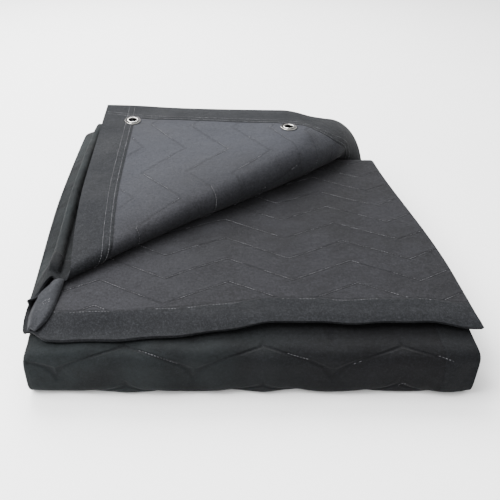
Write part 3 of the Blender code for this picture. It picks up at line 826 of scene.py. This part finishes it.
rows = []
widths = np.arange(left_x + 0.004, right_x - 0.004, row_step)
top_widths = widths - (right_x - top_right_x)
shown_end = front_hem(widths, np.full_like(widths, shown_depth))
top_end = front_hem(top_widths, np.full_like(top_widths, top_depth))
for row in range(first_row, last_row + 1):
    y = back_y + rows_back - zigzag(rows_shown_x - widths, row)
    u, v = on_lower_panel(widths, y)
    kept = (y > shown_end + hem_band + 0.002) & (beyond_crease(widths, y) > -0.02) & (v > 6.02)
    rows.append((u, v, kept & standing_clear(widths, row, shown_share), lower_proud, 1))
    flat_y = back_y + rows_back - zigzag(top_widths + rows_turned_x, row)
    u, v = on_turned_panel(top_widths, flat_y)
    kept = (beyond_crease(top_widths, flat_y) > past_crease) & (flat_y > top_end + hem_band + past_band)
    kept &= (top_widths < top_right_x - hem_band - past_band) & (flat_y < back_y + 0.9 * back_arc)
    rows.append((u, v, kept & standing_clear(widths, row + 40, turned_share), turned_proud, 1))
    share = zigzag(widths - rows_front_x, row) / front_run
    u = 6.0 + (widths - left_x) / (top_right_x - left_x)
    kept = (share > 0.02) & (share < 0.98) & standing_clear(widths, row + 80, front_share)
    rows.append((np.minimum(u, 6.999), 3.0 + share, kept, 0.0, -1))
u, v = on_lower_panel(widths, shown_end + hem_band - hem_row_inset)
rows.append((u, v, (v > 6.0) & standing_clear(widths, 7, hem_share), 0.0, 1))
for row_inset in strip_row_insets:
    flat_y = top_end + hem_band - row_inset
    u, v = on_turned_panel(top_widths, flat_y)
    kept = (beyond_crease(top_widths, flat_y) > past_crease) & (top_widths < top_right_x - past_band)
    rows.append((u, v, kept, strip_proud, 1))
    flat_y = np.arange(crease_from[1] + 0.004, 0.50, row_step)
    x = np.full_like(flat_y, top_right_x - hem_band + row_inset)
    u, v = on_turned_panel(x, flat_y)
    kept = beyond_crease(x, flat_y) > 0.0
    for seat_v, centre, up in seats:
        kept &= away_from(seat_v, u, v) > eyelet_outer + past_eyelet
    rows.append((u, v, kept, strip_proud, 1))

points, links, squares = [], [], []
for u, v, kept, proud, side in rows:
    u, v = np.clip(u, 0.0005, 6.9995), np.clip(v, 0.0005, 6.9995)
    square = square_to(middle, u, v) * side
    first = len(points)
    points += (cloth_face(u, v, side) + square * proud).tolist()
    squares += square.tolist()
    links += [(first + k, first + k + 1) for k in range(len(u) - 1) if kept[k] and kept[k + 1]]
angles = np.linspace(0.0, 2 * knot_turns * math.pi, knot_steps)
knot = tongue_face(
    knot_middle[0] + knot_size[0] * np.cos(angles),
    knot_middle[1] + knot_size[1] * np.sin(angles) + knot_drift * angles, 1)
links += [(len(points) + k, len(points) + k + 1) for k in range(len(angles) - 1)]
points += (knot + np.array((0.0, 0.0, knot_proud))).tolist()
squares += [(0.0, 0.0, 1.0)] * len(angles)
mesh = bpy.data.meshes.new("stitch_rows")
mesh.from_pydata(points, links, [])
square = mesh.attributes.new("square", "FLOAT_VECTOR", "POINT")
square.data.foreach_set("vector", np.array(squares, np.float32).ravel())
thread = bpy.data.objects.new("sewing_thread", mesh)
bpy.context.scene.collection.objects.link(thread)

thread_grey, tree, shader = node_tree("grey_thread")
coordinate = tree.nodes.new("ShaderNodeTexCoord")
worn = noise(tree, coordinate.outputs["Object"], 120.0, 3.0, 0.7)
dark_grey, pale_grey = (0.016, 0.016, 0.019, 1.0), (0.135, 0.135, 0.147, 1.0)
tone = mixed(tree, ramp(tree, worn, 0.42, 0.62, 0.0, 1.0), dark_grey, pale_grey)
tree.links.new(tone, shader.inputs["Base Color"])
tree.links.new(ramp(tree, worn, 0.3, 0.7, 0.5, 0.7), shader.inputs["Roughness"])

sewing = bpy.data.node_groups.new("sewing", "GeometryNodeTree")
sockets = {"Rows": sewing.interface.new_socket("Rows", in_out="INPUT", socket_type="NodeSocketGeometry")}
inputs = (("Gap", "Float", stitch_gap), ("Stitch Length", "Float", stitch_long),
          ("Stitch Thickness", "Float", stitch_thick), ("Seed", "Int", stitch_seed),
          ("Thread", "Material", thread_grey))
for title, kind, value in inputs:
    sockets[title] = sewing.interface.new_socket(title, in_out="INPUT", socket_type=f"NodeSocket{kind}")
sewing.interface.new_socket("Stitches", in_out="OUTPUT", socket_type="NodeSocketGeometry")


def sewing_node(kind, links, values=()):
    node = sewing.nodes.new(kind)
    for title, source in links:
        sewing.links.new(source, node.inputs[title])
    for title, value in values:
        node.inputs[title].default_value = value
    return node


given = sewing.nodes.new("NodeGroupInput").outputs
path = sewing_node("GeometryNodeMeshToCurve", (("Mesh", given["Rows"]),))
spaced = sewing.nodes.new("GeometryNodeCurveToPoints")
spaced.mode = "LENGTH"
sewing.links.new(path.outputs["Curve"], spaced.inputs["Curve"])
sewing.links.new(given["Gap"], spaced.inputs["Length"])
outward = sewing.nodes.new("GeometryNodeInputNamedAttribute")
outward.data_type = "FLOAT_VECTOR"
outward.inputs["Name"].default_value = "square"
turn = sewing.nodes.new("FunctionNodeAxesToRotation")
turn.primary_axis, turn.secondary_axis = "X", "Z"
sewing.links.new(spaced.outputs["Tangent"], turn.inputs["Primary Axis"])
sewing.links.new(outward.outputs["Attribute"], turn.inputs["Secondary Axis"])
uneven_length = sewing.nodes.new("FunctionNodeRandomValue")
uneven_length.data_type = "FLOAT"
uneven_length.inputs[2].default_value = least_long
uneven_length.inputs[3].default_value = most_long
sewing.links.new(given["Seed"], uneven_length.inputs["Seed"])
longer = sewing.nodes.new("ShaderNodeMath")
longer.operation = "MULTIPLY"
sewing.links.new(uneven_length.outputs[1], longer.inputs[0])
sewing.links.new(given["Stitch Length"], longer.inputs[1])
size = sewing_node("ShaderNodeCombineXYZ", (
    ("X", longer.outputs[0]), ("Y", given["Stitch Thickness"]), ("Z", given["Stitch Thickness"])))
bead = sewing_node("GeometryNodeMeshIcoSphere", (), (("Radius", 0.5), ("Subdivisions", 1)))
laid = sewing_node("GeometryNodeInstanceOnPoints", (
    ("Points", spaced.outputs["Points"]), ("Instance", bead.outputs["Mesh"]),
    ("Rotation", turn.outputs["Rotation"]), ("Scale", size.outputs[0])))
whole = sewing_node("GeometryNodeRealizeInstances", (("Geometry", laid.outputs["Instances"]),))
dyed = sewing_node("GeometryNodeSetMaterial", (
    ("Geometry", whole.outputs["Geometry"]), ("Material", given["Thread"])))
sewing_node("NodeGroupOutput", (("Stitches", dyed.outputs["Geometry"]),))
stitching = thread.modifiers.new("stitching", "NODES")
stitching.node_group = sewing
for title, kind, value in inputs:
    stitching[sockets[title].identifier] = value
depsgraph = bpy.context.evaluated_depsgraph_get()
sewn = bpy.data.meshes.new_from_object(thread.evaluated_get(depsgraph))
thread.modifiers.remove(stitching)
thread.data = sewn
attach(thread, "root")

# The studio.
# A plain pale floor, soft light from above and behind, and the camera at the photograph's place.
mesh = bpy.data.meshes.new("floor")
mesh.from_pydata([(-6, -6, 0), (6, -6, 0), (6, 6, 0), (-6, 6, 0)], [], [(0, 1, 2, 3)])
floor = bpy.data.objects.new("floor", mesh)
bpy.context.scene.collection.objects.link(floor)
floor_paint, tree, shader = node_tree("pale_floor")
coordinate = tree.nodes.new("ShaderNodeTexCoord")
tint = noise(tree, coordinate.outputs["Object"], 3.0, 3.0, 0.5)
paint = mixed(tree, tint, (0.90, 0.90, 0.90, 1.0), (0.93, 0.93, 0.93, 1.0))
tree.links.new(paint, shader.inputs["Base Color"])
shader.inputs["Roughness"].default_value = 0.9
floor.data.materials.append(floor_paint)

for title, place, aim, size, power in (
        ("back_light", (-0.6, 1.6, 1.9), (0.0, 0.0, 0.05), 1.8, 170.0),
        ("left_light", (-1.1, -0.35, 1.5), (-0.1, 0.0, 0.05), 1.2, 80.0),
        ("front_light", (-1.0, -2.0, 1.3), (0.0, 0.0, 0.05), 1.4, 16.0)):
    lamp = bpy.data.lights.new(title, "AREA")
    lamp.size = size
    lamp.energy = power
    holder = bpy.data.objects.new(title, lamp)
    holder.location = place
    holder.rotation_euler = (Vector(aim) - Vector(place)).to_track_quat("-Z", "Y").to_euler()
    bpy.context.scene.collection.objects.link(holder)

world = bpy.data.worlds.new("studio")
world.use_nodes = True
world.node_tree.nodes["Background"].inputs["Color"].default_value = (1.0, 1.0, 1.0, 1.0)
world.node_tree.nodes["Background"].inputs["Strength"].default_value = 1.3
bpy.context.scene.world = world

camera = bpy.data.cameras.new("camera")
camera.sensor_width = 36.0
camera.lens = 43.2
camera.shift_x = 0.07
holder = bpy.data.objects.new("camera", camera)
holder.location = (-0.040, -0.7243, 0.50)
holder.rotation_euler = (math.radians(57.0), 0.0, 0.0)
bpy.context.scene.collection.objects.link(holder)
bpy.context.scene.camera = holder
